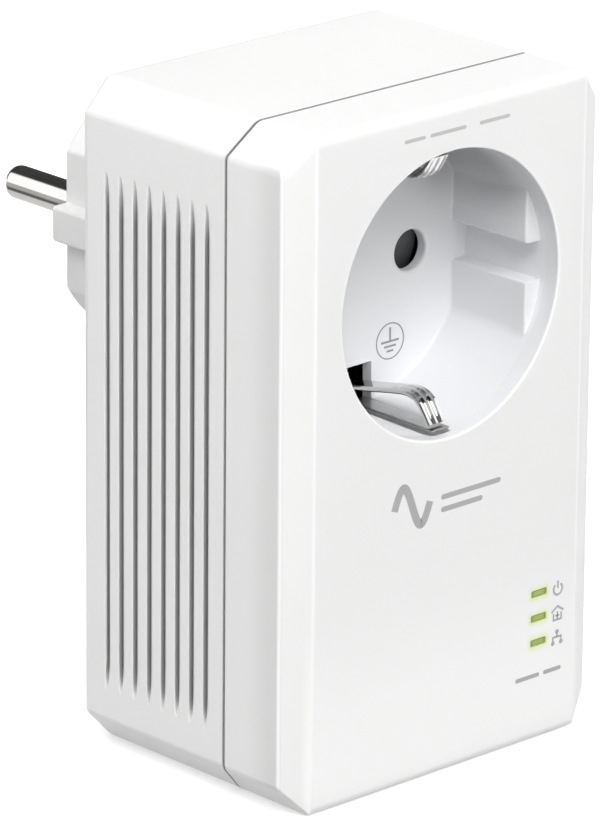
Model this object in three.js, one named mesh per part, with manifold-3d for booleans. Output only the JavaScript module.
// A plug-in powerline adapter with a pass-through mains socket, built as the assembly that comes apart on a
// bench: two casing shells, a socket well with a safety shutter and sprung earth clips, a plug with its pins,
// and the two circuit boards that they feed. Units are millimetres, +Z is up and the front faces -Y.
// The origin is the middle of the plug's flat face, between the two pins, where it meets a wall socket.

import * as THREE from 'three';
import { mergeVertices } from 'three/addons/utils/BufferGeometryUtils.js';
import Module from 'manifold-3d';

const wasm = await Module();
wasm.setup();

// ---------------------------------------------------------------- driving dimensions

const CASE_WIDTH = 58;
const CASE_DEPTH = 42;
const CASE_HEIGHT = 95;
const CORNER = 4.3; // 45 degree chamfer along the four long edges, front to back
const BEVEL_DEPTH = 2.4; // how far the front face's side bevels run back
const WALL = 2;
const FRONT_WALL = 2.5;
const SEAM_DEPTH = 12.9; // the front cover ends here
const SEAM_GAP = 0.4;

const AXIS_HEIGHT = 68.5; // socket and plug axis above the base
const PLUG_LENGTH = 18; // the plug body stands this far behind the casing
const PIN_LENGTH = 19;
const PIN_RADIUS = 2.4;
const PIN_OFFSET = 9.5; // half of the 19 mm pin spacing

const WELL_RADIUS = 20; // socket opening in the front cover
const WELL_DEPTH = 17.8; // front face to the socket's floor
const FLOOR_BACK = 19.5; // back of the socket's floor
const PIN_HOLE_RADIUS = 2.95;
const KEY_OFFSET = 17.1; // the socket's side keys stand this far from the axis
const KEY_SLOT = 2.75; // half of the slot between two keys

const HALF_WIDTH = CASE_WIDTH / 2;
const BASE = -AXIS_HEIGHT;
const TOP = BASE + CASE_HEIGHT;
const BACK = -PLUG_LENGTH;
const FRONT = BACK - CASE_DEPTH;
const SIDES = { right: 1, left: -1 };
const ENDS = { top: 1, bottom: -1 };

// The depth behind the front face, and the height above the base, as places in the part's frame.
const behind = (depth) => FRONT + depth;
const above = (height) => BASE + height;

// ---------------------------------------------------------------- materials

const material = (color, roughness, metalness = 0) =>
  new THREE.MeshStandardMaterial({ color, roughness, metalness });

const materials = {
  casing: material(0xf0f0ef, 0.38),
  insert: material(0xeeeef0, 0.42),
  shutter: material(0x3c3d42, 0.5),
  nickel: material(0xc8c9c6, 0.18, 1),
  steel: material(0x9a9a98, 0.35, 1),
  brass: material(0xb99a55, 0.35, 1),
  lens: material(0x97ad3f, 0.3),
  board: material(0x1f5a36, 0.5),
  chip: material(0x1c1c1e, 0.5),
  blackPlastic: material(0x202022, 0.45),
  sleeve: material(0x22407a, 0.35),
  aluminium: material(0xa9acb0, 0.4, 1),
  ferrite: material(0x3a3836, 0.7),
  copper: material(0x9c4f28, 0.35, 1),
  ceramic: material(0x2f6fb2, 0.4),
  filmYellow: material(0xd8b93a, 0.5),
  leadRed: material(0x8b2a22, 0.45),
  leadBlue: material(0x2a4d8b, 0.45),
  label: material(0xd9dadb, 0.45),
};

// ---------------------------------------------------------------- solids and booleans

// A closed three.js geometry as a manifold solid, with its faces turned outwards.
function solid(geometry) {
  const flat = geometry.index ? geometry.toNonIndexed() : geometry;
  const bare = new THREE.BufferGeometry();
  bare.setAttribute('position', flat.getAttribute('position'));
  const merged = mergeVertices(bare, 1e-4);
  const triVerts = new Uint32Array(merged.index.array);
  const vertProperties = merged.attributes.position.array;
  const made = new wasm.Manifold(new wasm.Mesh({ numProp: 3, vertProperties, triVerts }));
  if (made.volume() > 0) return made;
  return new wasm.Manifold(new wasm.Mesh({ numProp: 3, vertProperties, triVerts: triVerts.reverse() }));
}

function geometryOf(shape) {
  const { vertProperties, triVerts } = shape.getMesh();
  const geometry = new THREE.BufferGeometry();
  geometry.setAttribute('position', new THREE.BufferAttribute(vertProperties, 3));
  geometry.setIndex(new THREE.BufferAttribute(triVerts, 1));
  geometry.computeVertexNormals();
  return geometry;
}

const join = (...shapes) => shapes.reduce((whole, shape) => whole.add(shape));
const cut = (shape, ...tools) => tools.reduce((rest, tool) => rest.subtract(tool), shape);

const box = (x0, x1, y0, y1, z0, z1) =>
  solid(new THREE.BoxGeometry(x1 - x0, y1 - y0, z1 - z0)
    .translate((x0 + x1) / 2, (y0 + y1) / 2, (z0 + z1) / 2));

// A box centred on (x, z) that runs from y0 to y1.
const post = (x, z, halfX, halfZ, y0, y1) => box(x - halfX, x + halfX, y0, y1, z - halfZ, z + halfZ);

const cylinderY = (radius, y0, y1, x = 0, z = 0, segments = 24, endRadius = radius) =>
  solid(new THREE.CylinderGeometry(endRadius, radius, y1 - y0, segments)
    .translate(x, (y0 + y1) / 2, z));

const cylinderZ = (radius, z0, z1, x, y, segments = 24) =>
  solid(new THREE.CylinderGeometry(radius, radius, z1 - z0, segments)
    .rotateX(Math.PI / 2)
    .translate(x, y, (z0 + z1) / 2));

const cylinderX = (radius, x0, x1, y, z, segments = 20) =>
  solid(new THREE.CylinderGeometry(radius, radius, x1 - x0, segments)
    .rotateZ(Math.PI / 2)
    .translate((x0 + x1) / 2, y, z));

const shapeOf = (outline) =>
  outline instanceof THREE.Shape ? outline : new THREE.Shape(outline.map(([a, b]) => new THREE.Vector2(a, b)));

const vector = (x, y, z) => new THREE.Vector3(x, y, z);

// An outline drawn in the XZ plane, run along Y; in XY, along Z; and in YZ, along X.
function prism(outline, from, to, across, up, along) {
  const geometry = new THREE.ExtrudeGeometry(shapeOf(outline), {
    depth: to - from, bevelEnabled: false, curveSegments: 4,
  });
  const start = along.clone().multiplyScalar(from);
  return solid(geometry.applyMatrix4(new THREE.Matrix4().makeBasis(across, up, along).setPosition(start)));
}
const prismY = (outline, y0, y1) =>
  prism(outline, -y1, -y0, vector(1, 0, 0), vector(0, 0, 1), vector(0, -1, 0));
const prismZ = (outline, z0, z1) => prism(outline, z0, z1, vector(1, 0, 0), vector(0, 1, 0), vector(0, 0, 1));
const prismX = (outline, x0, x1) => prism(outline, x0, x1, vector(0, 1, 0), vector(0, 0, 1), vector(1, 0, 0));

const lathe = (profile, segments) =>
  solid(new THREE.LatheGeometry(profile.map(([r, y]) => new THREE.Vector2(r, y)), segments));

// The casing's section, set in from its outer faces: a rectangle with 45 degree corners.
function section(inset) {
  const x = HALF_WIDTH - inset;
  const low = BASE + inset;
  const high = TOP - inset;
  const c = CORNER - inset * (2 - Math.SQRT2);
  return [[-x, low + c], [-x + c, low], [x - c, low], [x, low + c],
    [x, high - c], [x - c, high], [-x + c, high], [-x, high - c]];
}

// ---------------------------------------------------------------- the assembly

const adapter = new THREE.Group();

function add(name, shape, finish) {
  const mesh = new THREE.Mesh(geometryOf(shape), finish);
  mesh.name = name;
  adapter.add(mesh);
  return mesh;
}

// ---------------------------------------------------------------- fasteners

const CASE_POSTS = [
  { name: 'top_left', x: -23, z: TOP - 6.8 },
  { name: 'top_right', x: 23, z: TOP - 6.8 },
  { name: 'bottom_left', x: -23, z: BASE + 6.8 },
  { name: 'bottom_right', x: 23, z: BASE + 6.8 },
];
const POST_RADIUS = 3.2;
const POST_MEET = 19.4; // the front posts end here, and the rear posts start 0.3 mm behind
const HEAD_SEAT = 23.9;
const INSERT_POSTS = [{ name: 'left', x: -20.6, z: -14.5 }, { name: 'right', x: 20.6, z: -14.5 }];
const EAR_FRONT = 9.2;
const EAR_BACK = 11.6;

// A cross-recessed screw that is driven towards the front, with its head at the back.
function screw(x, z, shankRadius, tip, seat, headRadius, headHeight) {
  const head = cylinderY(headRadius, seat, seat + headHeight, x, z, 20);
  const shank = cylinderY(shankRadius, tip + 1.5, seat + 0.1, x, z, 12);
  const point = cylinderY(shankRadius * 0.3, tip, tip + 1.5, x, z, 12, shankRadius);
  const slot = headRadius * 0.62;
  const recess = [seat + headHeight * 0.45, seat + headHeight + 0.1];
  return cut(join(head, shank, point),
    post(x, z, slot, headRadius * 0.13, ...recess),
    post(x, z, headRadius * 0.13, slot, ...recess));
}

for (const { name, x, z } of CASE_POSTS) {
  add(`case_screw_${name}`, screw(x, z, 1.2, behind(8.5), behind(HEAD_SEAT + 0.1), 2.3, 1.6), materials.steel);
}
for (const { name, x, z } of INSERT_POSTS) {
  const body = screw(x, z, 0.95, behind(4.6), behind(EAR_BACK + 0.1), 2.1, 1.3);
  add(`socket_screw_${name}`, body, materials.steel);
}

// ---------------------------------------------------------------- front cover

// The seam bends where the corners are cut: it runs forwards over the top and backwards under the base.
const SEAM_RISE = 1.5;
const SEAM_DROP = 1.1;

// Everything in the casing on one side of a line that follows the seam, out to a far Y.
function besideSeam(depth, far) {
  const y = behind(depth);
  const beyond = (CORNER + 1) / CORNER;
  return prismX([[far, BASE - 1], [y + SEAM_DROP * beyond, BASE - 1], [y, BASE + CORNER], [y, TOP - CORNER],
    [y - SEAM_RISE * beyond, TOP + 1], [far, TOP + 1]], -HALF_WIDTH - 1, HALF_WIDTH + 1);
}

const CLIP_ROOM = { halfWidth: 1.9, front: 1.7, inner: 18, outer: 21.2 };
const LEDS = { x: 17.6, heights: [21.75, 18.15, 14.55], width: 2.9, height: 0.95 };

function frontCover() {
  const end = behind(SEAM_DEPTH + 2);
  const plan = [[-HALF_WIDTH + CORNER, FRONT], [HALF_WIDTH - CORNER, FRONT],
    [HALF_WIDTH, FRONT + BEVEL_DEPTH], [HALF_WIDTH, end], [-HALF_WIDTH, end], [-HALF_WIDTH, FRONT + BEVEL_DEPTH]];
  let shell = prismY(section(0), FRONT, end).intersect(prismZ(plan, BASE, TOP));
  shell = cut(shell, prismY(section(WALL), behind(FRONT_WALL), end + 1), besideSeam(SEAM_DEPTH, BACK + 1));
  for (const { x, z } of CASE_POSTS) {
    const tube = cylinderY(POST_RADIUS, behind(FRONT_WALL - 0.5), behind(POST_MEET), x, z, 20);
    shell = cut(join(shell, tube), cylinderY(1.4, behind(6.5), behind(POST_MEET + 1), x, z, 12));
  }
  for (const { x, z } of INSERT_POSTS) {
    const tube = cylinderY(2.8, behind(FRONT_WALL - 0.5), behind(EAR_FRONT - 0.3), x, z, 20);
    shell = cut(join(shell, tube), cylinderY(1.15, behind(3.8), behind(EAR_FRONT), x, z, 12));
  }
  shell = cut(shell, cylinderY(WELL_RADIUS, FRONT - 1, behind(FRONT_WALL + 0.5), 0, 0, 64));
  // Room behind the rim for the earth clips to spring outwards.
  const { halfWidth, front, inner, outer } = CLIP_ROOM;
  for (const end of Object.values(ENDS)) {
    const band = [end * inner, end * outer].sort((a, b) => a - b);
    shell = cut(shell, box(-halfWidth, halfWidth, behind(front), behind(FRONT_WALL + 0.5), ...band));
  }
  for (const height of LEDS.heights) {
    const window = post(LEDS.x, above(height), LEDS.width / 2 + 0.1, LEDS.height / 2 + 0.1,
      FRONT - 1, behind(FRONT_WALL + 0.5));
    shell = cut(shell, window);
  }
  return shell;
}
add('front_cover', frontCover(), materials.casing);

// ---------------------------------------------------------------- rear casing

const VENTS = { count: 8, first: 16.9, last: 36.8, width: 0.9, depth: 1, low: 9, high: 83, fade: 5 };
const VENT_SLOT = { width: 0.54, low: 14, high: 78 };
const JACK = { halfWidth: 8, front: 15.5, back: 29, low: 0.5, high: 19.5 };
const BUTTON = { x: 15.5, depth: 19, radius: 2.3 };
const RESET = { x: -15.5, depth: 19, radius: 0.8 };
const LABEL = { halfWidth: 20, low: 8, high: 38 };

// A long groove whose floor curves up to the surface at both ends.
function ventGroove(side, y) {
  const surface = side * (HALF_WIDTH + 0.2);
  const floor = side * (HALF_WIDTH - VENTS.depth);
  const outline = new THREE.Shape();
  outline.moveTo(surface, above(VENTS.low));
  outline.quadraticCurveTo(floor, above(VENTS.low + 1), floor, above(VENTS.low + VENTS.fade));
  outline.lineTo(floor, above(VENTS.high - VENTS.fade));
  outline.quadraticCurveTo(floor, above(VENTS.high - 1), surface, above(VENTS.high));
  outline.closePath();
  return prismY(outline, y - VENTS.width / 2, y + VENTS.width / 2);
}

function rearCasing() {
  const start = behind(SEAM_DEPTH + SEAM_GAP);
  const lipFront = start - 2;
  const walls = cut(prismY(section(0), start - 2, BACK), prismY(section(WALL), start - 3, BACK - WALL));
  const lip = cut(
    prismY(section(WALL + 0.3), lipFront, start + 2),
    prismY(section(WALL + 1.3), lipFront - 1, start + 3));
  const lipRoot = cut(
    prismY(section(WALL - 0.5), start, start + 2),
    prismY(section(WALL + 1), start - 1, start + 3));
  let shell = join(lip, cut(join(walls, lipRoot), besideSeam(SEAM_DEPTH + SEAM_GAP, FRONT - 1)));
  for (const { x, z } of CASE_POSTS) {
    shell = cut(shell, cylinderY(POST_RADIUS + 0.4, lipFront - 1, start + 4, x, z, 20));
  }
  for (const { x, z } of CASE_POSTS) {
    shell = join(shell, cylinderY(POST_RADIUS, behind(POST_MEET + 0.3), BACK - WALL + 0.5, x, z, 20));
    shell = cut(shell,
      cylinderY(2.5, behind(HEAD_SEAT), BACK + 1, x, z, 20),
      cylinderY(1.4, behind(POST_MEET), behind(HEAD_SEAT + 1), x, z, 12));
  }
  shell = cut(shell,
    cylinderY(19.5, BACK - WALL - 1, BACK + 1, 0, 0, 64),
    box(-LABEL.halfWidth - 0.3, LABEL.halfWidth + 0.3, BACK - 0.3, BACK + 1,
      above(LABEL.low - 0.3), above(LABEL.high + 0.3)),
    box(-JACK.halfWidth - 0.3, JACK.halfWidth + 0.3, behind(JACK.front - 0.3), behind(JACK.back + 0.3),
      BASE - 1, above(4)),
    cylinderZ(BUTTON.radius + 0.25, BASE - 1, above(4), BUTTON.x, behind(BUTTON.depth)),
    cylinderZ(RESET.radius, BASE - 1, above(4), RESET.x, behind(RESET.depth), 16));
  const pitch = (VENTS.last - VENTS.first) / (VENTS.count - 1);
  for (const side of Object.values(SIDES)) {
    for (let i = 0; i < VENTS.count; i += 1) {
      const y = behind(VENTS.first + pitch * i);
      const through = [side * (HALF_WIDTH - WALL - 0.5), side * (HALF_WIDTH + 0.5)].sort((a, b) => a - b);
      const slot = box(...through, y - VENT_SLOT.width / 2, y + VENT_SLOT.width / 2,
        above(VENT_SLOT.low), above(VENT_SLOT.high));
      shell = cut(shell, ventGroove(side, y), slot);
    }
  }
  return shell;
}
add('rear_casing', rearCasing(), materials.casing);
add('rating_label',
  box(-LABEL.halfWidth, LABEL.halfWidth, BACK - 0.25, BACK - 0.05, above(LABEL.low), above(LABEL.high)),
  materials.label);

// ---------------------------------------------------------------- socket well

const WELL_WALL = 22.2; // outer radius of the well
const CLIP = { halfWidth: 1.65, thickness: 0.6, slotHalf: 2.3, slotInner: 14.2, slotOuter: 21.9 };

function socketInsert() {
  let well = lathe([[0, behind(WELL_DEPTH)], [19.6, behind(WELL_DEPTH)], [19.95, behind(FRONT_WALL)],
    [WELL_WALL, behind(FRONT_WALL)], [WELL_WALL, behind(FLOOR_BACK)], [0, behind(FLOOR_BACK)]], 64);
  const rim = cylinderY(21.5, behind(3.36), behind(WELL_DEPTH + 0.5), 0, 0, 64);
  for (const side of Object.values(SIDES)) {
    const keys = [side * KEY_OFFSET, side * 21.5].sort((a, b) => a - b);
    const flat = cut(box(...keys, behind(3.36), behind(WELL_DEPTH + 0.5), -12, 12),
      box(...keys, behind(3), behind(WELL_DEPTH), -KEY_SLOT, KEY_SLOT));
    well = join(well, flat.intersect(rim));
    const rise = cylinderY(PIN_HOLE_RADIUS + 0.45, behind(WELL_DEPTH - 0.01), behind(WELL_DEPTH + 0.45),
      side * PIN_OFFSET, 0, 32, PIN_HOLE_RADIUS);
    well = cut(well, rise,
      cylinderY(PIN_HOLE_RADIUS, behind(WELL_DEPTH - 1), behind(FLOOR_BACK + 1), side * PIN_OFFSET, 0, 32));
  }
  for (const end of Object.values(ENDS)) {
    const band = (from, to) => [end * from, end * to].sort((a, b) => a - b);
    well = join(well, box(-4, 4, behind(FRONT_WALL), behind(FLOOR_BACK), ...band(20.6, 22.9)));
    well = cut(well,
      box(-CLIP.slotHalf, CLIP.slotHalf, behind(FRONT_WALL - 1), behind(WELL_DEPTH), ...band(18, CLIP.slotOuter)),
      box(-CLIP.slotHalf, CLIP.slotHalf, behind(WELL_DEPTH - 1), behind(FLOOR_BACK + 1),
        ...band(CLIP.slotInner, CLIP.slotOuter)));
  }
  for (const { x, z } of INSERT_POSTS) {
    const web = solid(new THREE.BoxGeometry(5, EAR_BACK - EAR_FRONT, 6)
      .translate(Math.hypot(x, z) - 2.2, (behind(EAR_FRONT) + behind(EAR_BACK)) / 2, 0)
      .rotateY(Math.atan2(-z, x)));
    const ear = join(cylinderY(3, behind(EAR_FRONT), behind(EAR_BACK), x, z, 20), web);
    const clear = cylinderY(WELL_WALL - 1, behind(EAR_FRONT - 1), behind(EAR_BACK + 1), 0, 0, 64);
    well = cut(join(well, cut(ear, clear)),
      cylinderY(1.25, behind(EAR_FRONT - 1), behind(EAR_BACK + 1), x, z, 12));
  }
  return well;
}
add('socket_insert', socketInsert(), materials.insert);

// ---------------------------------------------------------------- safety shutter

const SHUTTER_HALF_ANGLE = THREE.MathUtils.degToRad(21);
const SHUTTER = { front: 19.8, back: 21.9, radius: 12.8, hub: 3, bore: 1.75 };

// A two-winged rotor that covers both pin holes. Each wing's front slopes, so that a pair of pins turns it.
function shutter() {
  const wing = new THREE.Shape();
  wing.moveTo(0, 0);
  wing.lineTo(SHUTTER.radius * Math.cos(SHUTTER_HALF_ANGLE), -SHUTTER.radius * Math.sin(SHUTTER_HALF_ANGLE));
  wing.absarc(0, 0, SHUTTER.radius, -SHUTTER_HALF_ANGLE, SHUTTER_HALF_ANGLE, false);
  wing.closePath();
  const front = behind(SHUTTER.front);
  const ramp = solid(new THREE.BoxGeometry(12, 4, 14)
    .translate(4 + 6, -2, 0)
    .rotateX(THREE.MathUtils.degToRad(12))
    .translate(0, front + 0.75, 0));
  const blade = cut(prismY(wing, front, behind(SHUTTER.back)), ramp);
  const hub = cylinderY(SHUTTER.hub, front, behind(SHUTTER.back), 0, 0, 24);
  return cut(join(blade, blade.rotate([0, 180, 0]), hub),
    cylinderY(SHUTTER.bore, front - 1, behind(SHUTTER.back + 1), 0, 0, 20));
}
add('safety_shutter', shutter(), materials.shutter);

const SPRING = { x: 3.6, low: -8.4, high: -2.3, radius: 0.7, wire: 0.16, turns: 5 };

// A compression spring that pushes the shutter shut.
function shutterSpring() {
  const points = [];
  const steps = SPRING.turns * 7;
  for (let i = 0; i <= steps; i += 1) {
    const turn = (i / 7) * 2 * Math.PI;
    points.push(vector(SPRING.x + SPRING.radius * Math.cos(turn),
      behind(20.9) + SPRING.radius * Math.sin(turn),
      SPRING.low + (SPRING.high - SPRING.low) * (i / steps)));
  }
  const wire = new THREE.Shape().absarc(0, 0, SPRING.wire, 0, 2 * Math.PI, false);
  return solid(new THREE.ExtrudeGeometry(wire, {
    steps, curveSegments: 2, bevelEnabled: false, extrudePath: new THREE.CatmullRomCurve3(points),
  }));
}
add('shutter_spring', shutterSpring(), materials.steel);

// ---------------------------------------------------------------- contacts behind the socket

const CARRIER = { halfWidth: 16, halfHeight: 7, front: 22.2, back: 36.8 };

function contactCarrier() {
  let block = box(-CARRIER.halfWidth, CARRIER.halfWidth, behind(CARRIER.front), behind(CARRIER.back),
    -CARRIER.halfHeight, CARRIER.halfHeight);
  block = join(block,
    cylinderY(1.5, behind(FLOOR_BACK + 0.2), behind(CARRIER.front + 0.5), 0, 0, 20),
    box(1.6, 4.3, behind(SHUTTER.front), behind(CARRIER.front + 1), -10, -8.6),
    box(1.6, 4.3, behind(CARRIER.front), behind(CARRIER.front + 1), -10, -6.5),
    box(8, 11, behind(SHUTTER.front), behind(CARRIER.front + 0.5), 5.1, 6.6));
  for (const side of Object.values(SIDES)) {
    const x = side * PIN_OFFSET;
    const leg = [side * (CARRIER.halfWidth - 1.5), side * CARRIER.halfWidth].sort((a, b) => a - b);
    block = join(block, box(...leg, behind(FLOOR_BACK), behind(CARRIER.front + 0.5),
      -CARRIER.halfHeight, CARRIER.halfHeight));
    block = cut(block,
      post(x, 0, 3.6, 2.8, behind(CARRIER.front + 1.2), behind(CARRIER.back + 1)),
      cylinderY(PIN_HOLE_RADIUS, behind(CARRIER.front - 0.1), behind(CARRIER.front + 2), x, 0, 24));
  }
  return block;
}
add('contact_carrier', contactCarrier(), materials.blackPlastic);

// Two leaves that grip a pin, on a plate across their back; the outline is drawn from above.
const GRIP = [[-2.9, 35.2], [2.9, 35.2], [2.75, 26], [3.3, 23.8], [2.8, 23.7], [2.2, 26], [2.35, 34.6],
  [-2.35, 34.6], [-2.2, 26], [-2.8, 23.7], [-3.3, 23.8], [-2.75, 26]];

for (const [name, side] of Object.entries(SIDES)) {
  const x = side * PIN_OFFSET;
  const outline = GRIP.map(([across, depth]) => [x + across, behind(depth)]);
  add(`socket_contact_${name}`, prismZ(outline, -2.2, 2.2), materials.brass);
  add(`busbar_${name}`, post(x, 0, 0.4, 1.9, behind(35.5), -PIN_LENGTH / 2 - 0.8), materials.brass);
}

// A strip of the given thickness that follows a smooth line in the YZ plane, as an outline.
function stripOutline(points, thickness, steps) {
  const line = new THREE.SplineCurve(points.map(([y, z]) => new THREE.Vector2(y, z)));
  const inner = [];
  const outer = [];
  for (let i = 0; i <= steps; i += 1) {
    const at = line.getPoint(i / steps);
    const along = line.getTangent(i / steps);
    inner.push([at.x - along.y * thickness / 2, at.y + along.x * thickness / 2]);
    outer.push([at.x + along.y * thickness / 2, at.y - along.x * thickness / 2]);
  }
  return [...inner, ...outer.reverse()];
}

// Depth behind the front face, and distance from the axis, along an earth clip's middle line.
const CLIP_LINE = [[16.5, 19.4], [10, 19.4], [4.2, 19.4], [2.4, 18.9], [2.7, 17.7], [3.7, 16.6], [5.2, 15.5],
  [7.2, 15.2], [10.6, 15.7], [17.8, 17.1], [22, 17.8], [25.6, 17.8]];
const EARTH_RADIUS = 17.8; // the earth path runs this far from the axis

for (const [name, end] of Object.entries(ENDS)) {
  const outline = stripOutline(CLIP_LINE.map(([depth, out]) => [behind(depth), end * out]), CLIP.thickness, 36);
  add(`earth_clip_${name}`, prismX(outline, -CLIP.halfWidth, CLIP.halfWidth), materials.nickel);
}

const EARTH_BRIDGE = { front: 26, back: 37.9, half: 0.4, halfWidth: 2.5 };
function earthBridge() {
  const { front, back, half, halfWidth } = EARTH_BRIDGE;
  const reach = EARTH_RADIUS + half;
  const whole = box(-halfWidth, halfWidth, behind(front), behind(back), -reach, reach);
  const inside = box(-halfWidth - 1, halfWidth + 1, behind(front - 1), behind(back - 2 * half),
    -EARTH_RADIUS + half, EARTH_RADIUS - half);
  return cut(whole, inside);
}
add('earth_bridge', earthBridge(), materials.brass);

// ---------------------------------------------------------------- plug

const PLUG = { radius: 19.2, flat: 16.5, rib: 19, ribHalf: 2.6, flange: 22, flangeFront: 38.5 };

function plugBody() {
  const start = behind(PLUG.flangeFront);
  const root = BACK - WALL;
  const boss = cylinderY(PLUG.radius, start, 0, 0, 0, 64)
    .intersect(box(-PLUG.flat, PLUG.flat, start, 0, -PLUG.radius, PLUG.radius));
  const ribs = box(-PLUG.rib, PLUG.rib, root, 0, -PLUG.ribHalf, PLUG.ribHalf);
  const flange = cylinderY(PLUG.flange, start, root - 0.1, 0, 0, 64);
  const hollow = cylinderY(15.3, start - 1, -4, 0, 0, 48).intersect(box(-14.3, 14.3, start - 1, -4, -16, 16));
  let body = cut(join(boss, ribs, flange), hollow);
  for (const side of Object.values(SIDES)) {
    body = cut(join(body, cylinderY(4.3, -10, -3.5, side * PIN_OFFSET, 0, 24)),
      cylinderY(PIN_RADIUS + 0.12, -11, 1, side * PIN_OFFSET, 0, 24));
  }
  for (const end of Object.values(ENDS)) {
    const band = [end * 17.1, end * 19.5].sort((a, b) => a - b);
    body = cut(body, box(-2.9, 2.9, start - 1, 1, ...band));
  }
  return body;
}
add('plug_body', plugBody(), materials.casing);

// A solid pin with a rounded tip; its tail stays inside the plug body.
function plugPin(side) {
  const tip = new THREE.Path();
  tip.moveTo(0, -PIN_LENGTH / 2 - 0.5);
  tip.lineTo(PIN_RADIUS, -PIN_LENGTH / 2 - 0.5);
  tip.lineTo(PIN_RADIUS, PIN_LENGTH - 2);
  tip.absellipse(0, PIN_LENGTH - 2, PIN_RADIUS, 2, 0, Math.PI / 2, false);
  const profile = tip.getPoints(4).map(({ x, y }) => [Math.max(x, 0), y]);
  profile[profile.length - 1][0] = 0;
  return lathe(profile, 20).translate([side * PIN_OFFSET, 0, 0]);
}
for (const [name, side] of Object.entries(SIDES)) {
  add(`plug_pin_${name}`, plugPin(side), materials.nickel);
}

for (const [name, end] of Object.entries(ENDS)) {
  const line = [[behind(38.2), end * EARTH_RADIUS], [-14, end * EARTH_RADIUS], [-8, end * (EARTH_RADIUS + 0.5)],
    [-3, end * (EARTH_RADIUS + 0.1)], [-1, end * (EARTH_RADIUS - 0.2)]];
  add(`plug_earth_contact_${name}`, prismX(stripOutline(line, 0.7, 14), -2.3, 2.3), materials.nickel);
}

// ---------------------------------------------------------------- light guide and lamps

const LOGIC_BOARD = { front: 13.6, back: 15.2, halfWidth: 25.2, low: 3.8, high: 44 };

function lightGuide() {
  const fingers = LEDS.heights.map((height) =>
    post(LEDS.x, above(height), LEDS.width / 2, LEDS.height / 2, behind(0.05), behind(12.6)));
  const [high, , low] = LEDS.heights;
  const bridge = box(LEDS.x - 1.4, LEDS.x + 3, behind(8.8), behind(10.4), above(low), above(high));
  return join(...fingers, bridge);
}
add('light_guide', lightGuide(), materials.lens);

LEDS.heights.forEach((height, i) => {
  const lamp = post(LEDS.x, above(height), 0.8, 0.4, behind(12.9), behind(13.5));
  add(`status_lamp_${i + 1}`, lamp, materials.lens);
});

// ---------------------------------------------------------------- logic board

function board(halfWidth, low, high, front, back, chamfer) {
  const outline = [[-halfWidth + chamfer, above(low)], [halfWidth - chamfer, above(low)],
    [halfWidth, above(low + chamfer)], [halfWidth, above(high)], [-halfWidth, above(high)],
    [-halfWidth, above(low + chamfer)]];
  let plate = prismY(outline, behind(front), behind(back));
  for (const { x, z } of CASE_POSTS) {
    plate = cut(plate, cylinderY(POST_RADIUS + 0.4, behind(front - 1), behind(back + 1), x, z, 20));
  }
  return plate;
}

add('logic_board', board(LOGIC_BOARD.halfWidth, LOGIC_BOARD.low, LOGIC_BOARD.high, LOGIC_BOARD.front,
  LOGIC_BOARD.back, 3), materials.board);

// A chip on the board's front side, centred on x and the height, a hair off the copper.
const chip = (x, height, halfX, halfZ, thickness) =>
  post(x, above(height), halfX, halfZ, behind(LOGIC_BOARD.front - 0.1 - thickness), behind(LOGIC_BOARD.front - 0.1));

add('main_chip', chip(-4, 31, 6, 6, 1.2), materials.chip);
add('memory_chip', chip(12, 32, 4, 2.6, 1), materials.chip);
add('clock_crystal', chip(9.5, 25.5, 1.6, 1.1, 0.9), materials.steel);

function heatSink() {
  const plate = post(-4, above(31), 10, 9, behind(10.6), behind(12.1));
  const fins = [];
  const count = 8;
  for (let i = 0; i < count; i += 1) {
    const x = -14 + 0.5 + (19 / (count - 1)) * i;
    fins.push(post(x, above(31), 0.45, 9, behind(4.6), behind(10.8)));
  }
  return join(plate, ...fins);
}
add('heat_sink', heatSink(), materials.aluminium);
add('ethernet_transformer', post(0, above(27), 7, 4, behind(15.3), behind(20.8)), materials.chip);

// ---------------------------------------------------------------- network jack

function jackShield() {
  const { halfWidth, front, back, low, high } = JACK;
  return cut(box(-halfWidth, halfWidth, behind(front), behind(back), above(low), above(high)),
    box(-halfWidth + 0.4, halfWidth - 0.4, behind(front + 0.4), behind(back - 0.4),
      above(low - 1), above(high - 0.4)));
}
add('jack_shield', jackShield(), materials.steel);

const PORT = { half: 5.95, front: 18.6, back: 25.6, deep: 13.5 };
function jackHousing() {
  const { halfWidth, front, back, low, high } = JACK;
  return cut(
    box(-halfWidth + 0.6, halfWidth - 0.6, behind(front + 0.6), behind(back - 0.6),
      above(low + 0.3), above(high - 0.6)),
    box(-PORT.half, PORT.half, behind(PORT.front), behind(PORT.back), above(-1), above(PORT.deep)),
    box(-3.1, 3.1, behind(PORT.back - 1), behind(PORT.back + 1.7), above(-1), above(PORT.deep)));
}
add('jack_housing', jackHousing(), materials.blackPlastic);

function jackContacts() {
  const comb = box(-4.3, 4.3, behind(PORT.front + 0.1), behind(PORT.front + 0.9), above(12.4), above(13.3));
  const finger = [[behind(PORT.front + 0.2), above(12.8)], [behind(PORT.front + 2.3), above(5.6)],
    [behind(PORT.front + 1.6), above(4.4)], [behind(PORT.front + 1.3), above(4.6)],
    [behind(PORT.front + 1.9), above(5.7)], [behind(PORT.front + 0.1), above(12.4)]];
  const fingers = [];
  for (let i = 0; i < 8; i += 1) {
    const x = (i - 3.5) * 1.02;
    fingers.push(prismX(finger, x - 0.2, x + 0.2));
  }
  return join(comb, ...fingers);
}
add('jack_contacts', jackContacts(), materials.brass);

// ---------------------------------------------------------------- buttons

const SWITCH = { low: 5.6, high: 9.2, half: 3, bore: 1.3, stem: 1 };

function switchBody({ x, depth }) {
  return cut(
    box(x - SWITCH.half, x + SWITCH.half, behind(15.5), behind(depth + 3), above(SWITCH.low), above(SWITCH.high)),
    cylinderZ(SWITCH.bore, above(SWITCH.low - 1), above(SWITCH.low + 1.5), x, behind(depth), 16));
}

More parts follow.
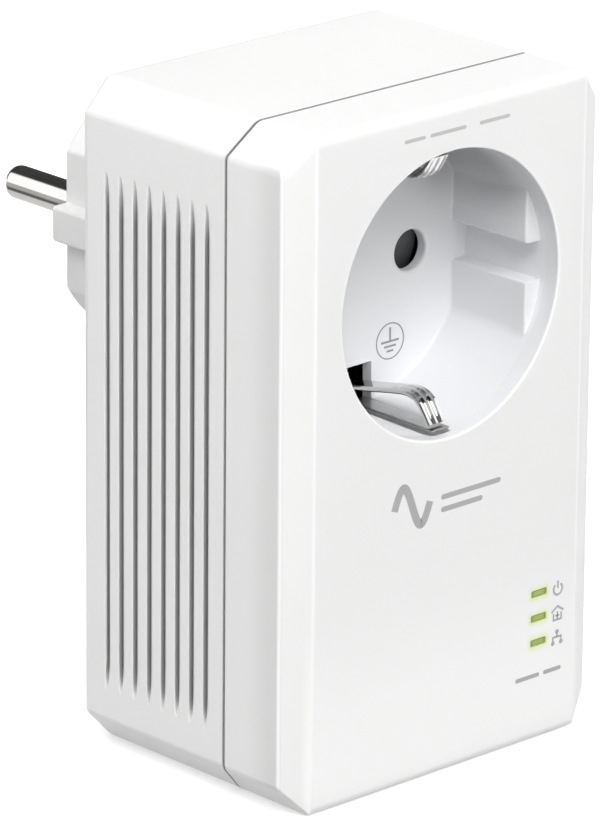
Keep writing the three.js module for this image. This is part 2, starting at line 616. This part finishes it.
const pairY = behind(BUTTON.depth);
add('pair_button', join(
  cylinderZ(BUTTON.radius, above(0.25), above(2.6), BUTTON.x, pairY),
  cylinderZ(BUTTON.radius + 0.8, above(2.4), above(3.3), BUTTON.x, pairY),
  cylinderZ(0.9, above(3.2), above(4.2), BUTTON.x, pairY, 16)), materials.insert);
const pairStem = cylinderZ(SWITCH.stem, above(4.4), above(6.2), BUTTON.x, pairY, 16);
add('pair_switch_stem', pairStem, materials.blackPlastic);
add('pair_switch', switchBody(BUTTON), materials.chip);

const resetY = behind(RESET.depth);
const resetStem = cylinderZ(SWITCH.stem, above(3.6), above(6.2), RESET.x, resetY, 16);
add('reset_switch_stem', resetStem, materials.blackPlastic);
add('reset_switch', switchBody(RESET), materials.chip);

// ---------------------------------------------------------------- power board

const POWER_BOARD = { front: 37.6, back: 39.2 };
const onBoard = behind(POWER_BOARD.front - 0.1);

add('power_board', board(25, 4, 44, POWER_BOARD.front, POWER_BOARD.back, 1), materials.board);
add('transformer_core', cut(
  box(-20.5, -11.5, behind(24), onBoard, above(23), above(37)),
  box(-21, -11, behind(27), behind(34.5), above(24.5), above(28)),
  box(-21, -11, behind(27), behind(34.5), above(32), above(35.5))), materials.ferrite);
add('transformer_winding', cut(
  box(-23.5, -8.5, behind(27.3), behind(34.2), above(24.8), above(35.2)),
  box(-20.8, -11.2, behind(26), behind(35), above(27.7), above(32.3))), materials.copper);

const CAPACITORS = { left: -1.5, right: 10 };
for (const [name, x] of Object.entries(CAPACITORS)) {
  add(`bulk_capacitor_${name}`, cylinderY(5, behind(21.5), onBoard, x, above(32.5), 28), materials.sleeve);
}
add('mains_capacitor', box(4, 21, behind(26), onBoard, above(20), above(26.8)), materials.filmYellow);

function commonModeChoke() {
  const ring = new THREE.TorusGeometry(3.6, 1.9, 8, 20)
    .rotateX(Math.PI / 2)
    .translate(14, behind(33), above(14.2));
  return solid(ring);
}
add('common_mode_choke', commonModeChoke(), materials.copper);
add('choke_base', cut(box(8.5, 19.5, behind(35.3), onBoard, above(9), above(19.4)),
  cylinderY(1.4, behind(30), behind(40), 14, above(14.2), 16)), materials.blackPlastic);
add('coupling_transformer', box(-24, -14, behind(30), onBoard, above(12), above(21.5)), materials.ferrite);
add('fuse', cylinderX(1.8, 9, 20, behind(34.9), above(41.6)), materials.ceramic);
add('varistor', cylinderX(3.4, -15.5, -12, behind(33.5), above(41.2), 24), materials.ceramic);
add('mains_connector', box(-4.5, 4.5, behind(31.5), onBoard, above(40), above(45.5)), materials.filmYellow);
add('board_link', box(-24, -12, behind(15.4), onBoard, above(10.8), above(11.6)), materials.label);

// Insulated leads from the busbars to the power board's mains connector.
const LEAD_ROUTE = [[9.5, 44, -2.9], [9.5, 43, -5.2], [9, 40, -8.8], [8, 36.8, -12.4], [6, 35.2, -17],
  [3.9, 34.9, -20], [2.2, 34.8, -22.3]];
const LEAD_RADIUS = 0.8;

for (const [name, side] of Object.entries(SIDES)) {
  const route = LEAD_ROUTE.map(([x, depth, z]) => vector(side * x, behind(depth), z));
  const wire = new THREE.Shape().absarc(0, 0, LEAD_RADIUS, 0, 2 * Math.PI, false);
  const lead = new THREE.ExtrudeGeometry(wire, {
    steps: 14, curveSegments: 4, bevelEnabled: false, extrudePath: new THREE.CatmullRomCurve3(route),
  });
  add(`mains_lead_${name}`, solid(lead), side > 0 ? materials.leadRed : materials.leadBlue);
}

// ---------------------------------------------------------------- insulation

// Stiff films behind the vents, which keep anything pushed through them off the live parts.
const SHEET = { inner: 25.9, outer: 26.3, front: 16, back: 39.6, low: 10.6, high: 84.4 };

for (const [name, side] of Object.entries(SIDES)) {
  const across = [side * SHEET.inner, side * SHEET.outer].sort((a, b) => a - b);
  add(`insulating_sheet_${name}`,
    box(...across, behind(SHEET.front), behind(SHEET.back), above(SHEET.low), above(SHEET.high)),
    materials.blackPlastic);
}

export default adapter;
